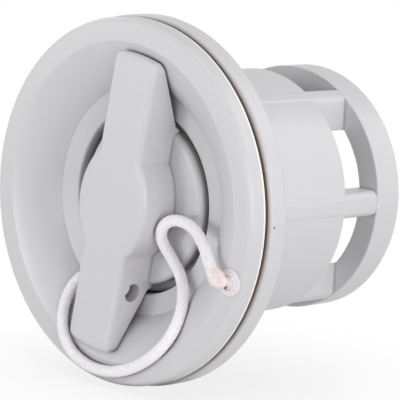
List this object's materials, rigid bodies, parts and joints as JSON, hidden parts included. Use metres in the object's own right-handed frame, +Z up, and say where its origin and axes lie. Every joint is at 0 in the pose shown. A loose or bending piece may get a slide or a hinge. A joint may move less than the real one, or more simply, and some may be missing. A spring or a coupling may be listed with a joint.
{
  "type": "inflatable boat valve with screw plug",
  "caption": "Round dished boat valve with a caged rear sleeve and a screw plug with a wing handle, tied to its flange by a cord.",
  "frame": {"origin": "on the valve's axis, in the plane of the rear flange's face that bears on the hull", "axes": "+Y along the axis from the dish towards the sleeve and into the hull, +Z up, +X to the right seen from the dish"},
  "size_m": [0.0906, 0.0718, 0.0906],
  "materials": {
    "flange_plastic": "satin light grey moulding",
    "sleeve_plastic": "satin light grey moulding",
    "plug_plastic": "satin light grey moulding",
    "gasket_rubber": "matt black rubber",
    "seal_rubber": "matt black rubber",
    "eyelet_plastic": "smooth off-white",
    "cord_fibre": "white braided fibre"
  },
  "bodies": {
    "housing": {"front_flange": "flange_plastic", "rear_sleeve": "sleeve_plastic", "flange_gasket": "gasket_rubber", "cord_eyelet": "eyelet_plastic", "cord": "cord_fibre"},
    "seal": {"plug_seal": "seal_rubber"},
    "screw_plug": {"plug": "plug_plastic", "cord_knot": "cord_fibre"}
  },
  "joints": [
    {"name": "plug_travel", "type": "slide", "parent": "housing", "child": "seal", "axis": [0, -1, 0], "range_m": [0, 0.015], "deforming": ["cord"]},
    {"name": "plug_turn", "type": "hinge", "parent": "seal", "child": "screw_plug", "pos_m": [0, 0, 0], "axis": [0, -1, 0], "range_deg": [0, 1080]}
  ],
  "couplings": [
    {"joint": "plug_travel", "follows": "plug_turn", "m_per_rad": 0.00079577}
  ]
}
